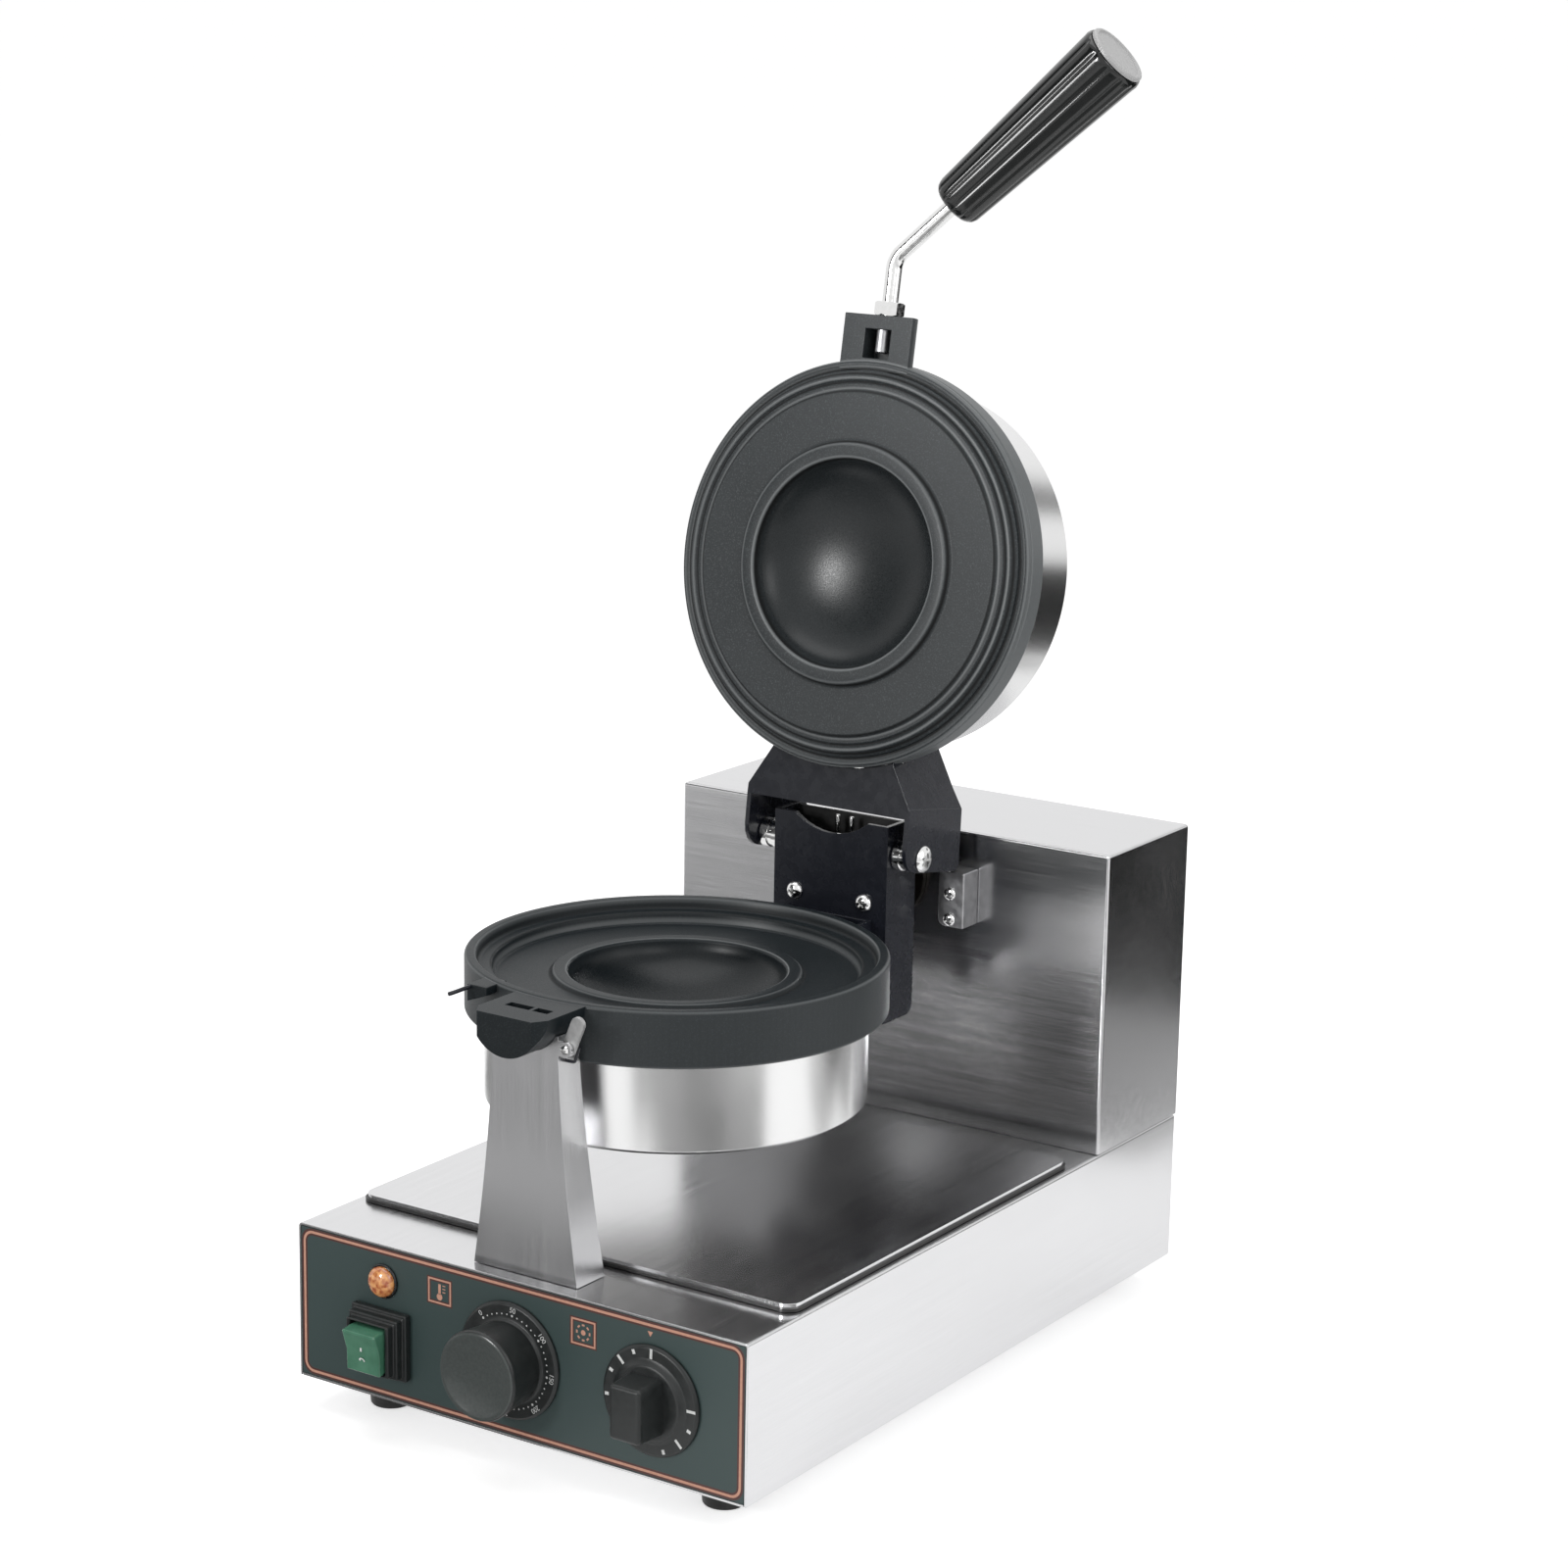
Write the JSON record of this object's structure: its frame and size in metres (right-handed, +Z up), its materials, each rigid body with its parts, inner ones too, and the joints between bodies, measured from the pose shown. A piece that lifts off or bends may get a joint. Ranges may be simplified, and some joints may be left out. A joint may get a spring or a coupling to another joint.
{
  "type": "ufo burger maker",
  "caption": "Countertop burger press: a stainless base with a control panel, a tower, and two round heated moulds on a turning hinge, with the lid open and a crank handle.",
  "frame": {"origin": "on the surface that the feet stand on, under the middle of the machine's width and depth at rest", "axes": "+X to the right as seen from the control panel, +Y from the panel to the tower, +Z up; rest is the lid open on its stop"},
  "size_m": [0.26, 0.44, 0.6528],
  "materials": {
    "stainless": "brushed stainless sheet",
    "brushed_drum": "brushed stainless, grain round the drum's axis",
    "cast_coating": "satin dark coating on cast aluminium",
    "black_paint": "glossy black paint",
    "chrome": "bright plated",
    "steel": "plain grey steel",
    "bronze": "sintered bronze",
    "panel": "dark printed film",
    "black_plastic": "glossy black",
    "rubber": "black rubber",
    "lamp": "clear orange lens",
    "rocker": "translucent green",
    "cap_grey": "grey",
    "nylon": "natural nylon",
    "bakelite": "brown bakelite"
  },
  "bodies": {
    "base": {"base_shell": "stainless", "base_floor": "stainless", "tower_shell": "stainless", "tower_back": "stainless", "top_deck": "stainless", "front_stand": "stainless", "foot_front_left": "rubber", "foot_front_right": "rubber", "foot_back_left": "rubber", "foot_back_right": "rubber", "stop_block": "steel", "bearing_frame": "steel", "front_bushing": "bronze", "back_bushing": "bronze", "control_panel": "panel", "lamp_bezel": "black_plastic", "lamp_lens": "lamp", "switch_bezel": "black_plastic", "switch_body": "black_plastic", "thermostat_body": "bakelite", "timer_body": "bakelite", "terminal_block": "nylon", "cable_gland": "black_plastic", "catch_rivet": "steel", "catch_spring": "black_paint"},
    "rocker": {"switch_rocker": "rocker"},
    "thermostat": {"thermostat_dial": "black_plastic"},
    "timer": {"timer_dial": "black_plastic"},
    "catch": {"head_catch": "steel"},
    "head": {"head_shaft": "steel", "shaft_collar": "steel", "hinge_channel": "black_paint", "channel_screw_left": "chrome", "channel_screw_right": "chrome", "lower_arm": "black_paint", "lower_mould": "cast_coating", "latch_pin": "black_paint", "lower_drum": "brushed_drum", "lower_drum_screw": "chrome", "lower_heater": "steel", "hinge_bolt_left": "chrome", "hinge_bolt_right": "chrome", "hinge_spacer_left": "chrome", "hinge_spacer_right": "chrome", "hinge_nut_left": "chrome", "hinge_nut_right": "chrome"},
    "lid": {"lid_bracket": "black_paint", "upper_mould": "cast_coating", "upper_drum": "brushed_drum", "upper_drum_screw": "chrome", "upper_heater": "steel", "handle_nut": "chrome", "handle_rod": "chrome", "handle_grip": "black_plastic", "grip_cap": "cap_grey"}
  },
  "joints": [
    {"name": "head_turn", "type": "hinge", "parent": "base", "child": "head", "pos_m": [0, -0.068, 0.222], "axis": [0, 1, 0], "range_deg": [-35, 0]},
    {"name": "lid_hinge", "type": "hinge", "parent": "head", "child": "lid", "pos_m": [0, 0.074, 0.245], "axis": [1, 0, 0], "range_deg": [0, 100]},
    {"name": "thermostat_turn", "type": "hinge", "parent": "base", "child": "thermostat", "pos_m": [-0.002, -0.194, 0.0545], "axis": [0, 1, 0], "range_deg": [0, 270]},
    {"name": "timer_turn", "type": "hinge", "parent": "base", "child": "timer", "pos_m": [0.0784, -0.194, 0.0547], "axis": [0, 1, 0], "range_deg": [0, 300]},
    {"name": "rocker_tilt", "type": "hinge", "parent": "base", "child": "rocker", "pos_m": [-0.0778, -0.2042, 0.046], "axis": [-1, 0, 0], "range_deg": [0, 20]},
    {"name": "catch_swing", "type": "hinge", "parent": "base", "child": "catch", "pos_m": [0.0226, -0.186, 0.206], "axis": [0, 1, 0], "range_deg": [0, 45]}
  ]
}
